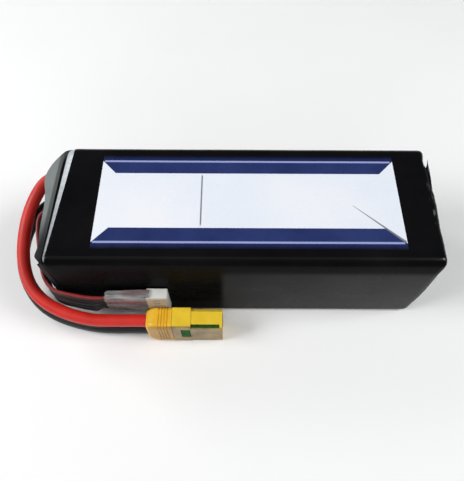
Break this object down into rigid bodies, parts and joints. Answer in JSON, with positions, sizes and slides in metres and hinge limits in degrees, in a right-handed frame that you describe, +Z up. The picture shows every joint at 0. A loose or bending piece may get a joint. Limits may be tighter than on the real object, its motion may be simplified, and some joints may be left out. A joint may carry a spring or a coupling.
{
  "type": "lithium polymer battery pack",
  "caption": "Rectangular shrink-wrapped lithium polymer battery pack with thick red and black leads to a yellow plug and a thin balance lead to a flat white plug.",
  "frame": {"origin": "centre of the flat underside of the shrink-wrapped pack", "axes": "+X along the pack away from the wire end, +Y away from the side the plugs lie on, +Z up out of the labelled face"},
  "size_m": [0.2051, 0.081, 0.0582],
  "materials": {
    "film_black": "glossy shrink film",
    "label_print": "printed label",
    "hood_grey": "thin fibre board",
    "cell_foil": "satin laminate foil",
    "foam_grey": "closed cell foam",
    "board_green": "circuit board",
    "plate_fibre": "glass fibre sheet",
    "tape_amber": "polyimide tape",
    "tab_nickel": "nickel strip",
    "tab_aluminium": "aluminium strip",
    "copper_strand": "tinned copper strand",
    "silicone_red": "soft silicone",
    "silicone_black": "soft silicone",
    "plug_yellow": "moulded nylon",
    "contact_gold": "gold plated",
    "spark_green": "moulded insulator",
    "nylon_white": "moulded nylon",
    "terminal_tin": "tin plated",
    "wire_mixed": "thin silicone wires, one colour each in the visual model",
    "film_clear": "clear shrink film",
    "shrink_black": "heat shrink"
  },
  "bodies": {
    "pack": {"outer_sleeve": "film_black", "top_label": "label_print", "wire_end_hood": "hood_grey", "bottom_plate": "plate_fibre", "top_plate": "plate_fibre", "stack_tape_bands": "tape_amber", "closed_end_foam": "foam_grey", "closed_end_board": "board_green", "cell_1": "cell_foil", "cell_2": "cell_foil", "cell_3": "cell_foil", "cell_4": "cell_foil", "cell_5": "cell_foil", "cell_6": "cell_foil", "positive_tabs": "tab_aluminium", "negative_tabs": "tab_nickel", "cell_foam_pads": "foam_grey", "tab_board": "board_green", "series_links": "tab_nickel", "lead_pads": "copper_strand", "red_lead_in_pack": "silicone_red", "black_lead_in_pack": "silicone_black", "lead_cores_in_pack": "copper_strand", "balance_wires_in_pack": "wire_mixed"},
    "lead_a": {"red_lead_a": "silicone_red", "black_lead_a": "silicone_black", "lead_cores_a": "copper_strand"},
    "lead_b": {"red_lead_b": "silicone_red", "black_lead_b": "silicone_black", "lead_cores_b": "copper_strand"},
    "lead_c": {"red_lead_c": "silicone_red", "black_lead_c": "silicone_black", "lead_cores_c": "copper_strand"},
    "main_plug": {"red_lead_at_plug": "silicone_red", "black_lead_at_plug": "silicone_black", "lead_cores_at_plug": "copper_strand", "plug_housing": "plug_yellow", "positive_contact": "contact_gold", "negative_contact": "contact_gold", "anti_spark_insulator": "spark_green", "anti_spark_ring": "contact_gold", "anti_spark_resistor": "spark_green", "anti_spark_strip": "spark_green", "solder_sleeves": "shrink_black"},
    "rear_cap": {"plug_cap": "plug_yellow"},
    "balance_lead": {"balance_wires_lead": "wire_mixed"},
    "balance_plug": {"balance_wires_at_plug": "wire_mixed", "balance_plug_housing": "nylon_white", "balance_terminals": "terminal_tin", "balance_clear_sleeve": "film_clear"}
  },
  "joints": [
    {"name": "lead_bend_a", "type": "hinge", "parent": "pack", "child": "lead_a", "pos_m": [-0.1012, 0.0122, 0.04], "axis": [0, 0, 1], "range_deg": [-35, 0]},
    {"name": "lead_bend_b", "type": "hinge", "parent": "lead_a", "child": "lead_b", "pos_m": [-0.1105, -0.011, 0.025], "axis": [0, 0, 1], "range_deg": [-40, 0]},
    {"name": "lead_bend_c", "type": "hinge", "parent": "lead_b", "child": "lead_c", "pos_m": [-0.1024, -0.0316, 0.013], "axis": [0, 0, 1], "range_deg": [-45, 0]},
    {"name": "plug_swing", "type": "hinge", "parent": "lead_c", "child": "main_plug", "pos_m": [-0.0685, -0.0434, 0.011], "axis": [0, 0, 1], "range_deg": [-30, 0]},
    {"name": "cap_slide", "type": "slide", "parent": "main_plug", "child": "rear_cap", "axis": [-1, 0, 0], "range_m": [0, 0.013]},
    {"name": "balance_bend", "type": "hinge", "parent": "pack", "child": "balance_lead", "pos_m": [-0.084, -0.0345, 0.0246], "axis": [0, -1, 0], "range_deg": [0, 55]},
    {"name": "balance_plug_swing", "type": "hinge", "parent": "balance_lead", "child": "balance_plug", "pos_m": [-0.0728, -0.03535, 0.0212], "axis": [0, -1, 0], "range_deg": [-10, 45]}
  ],
  "couplings": [
    {"joint": "lead_bend_b", "follows": "lead_bend_a", "ratio": 1.1429},
    {"joint": "lead_bend_c", "follows": "lead_bend_a", "ratio": 1.2857}
  ]
}
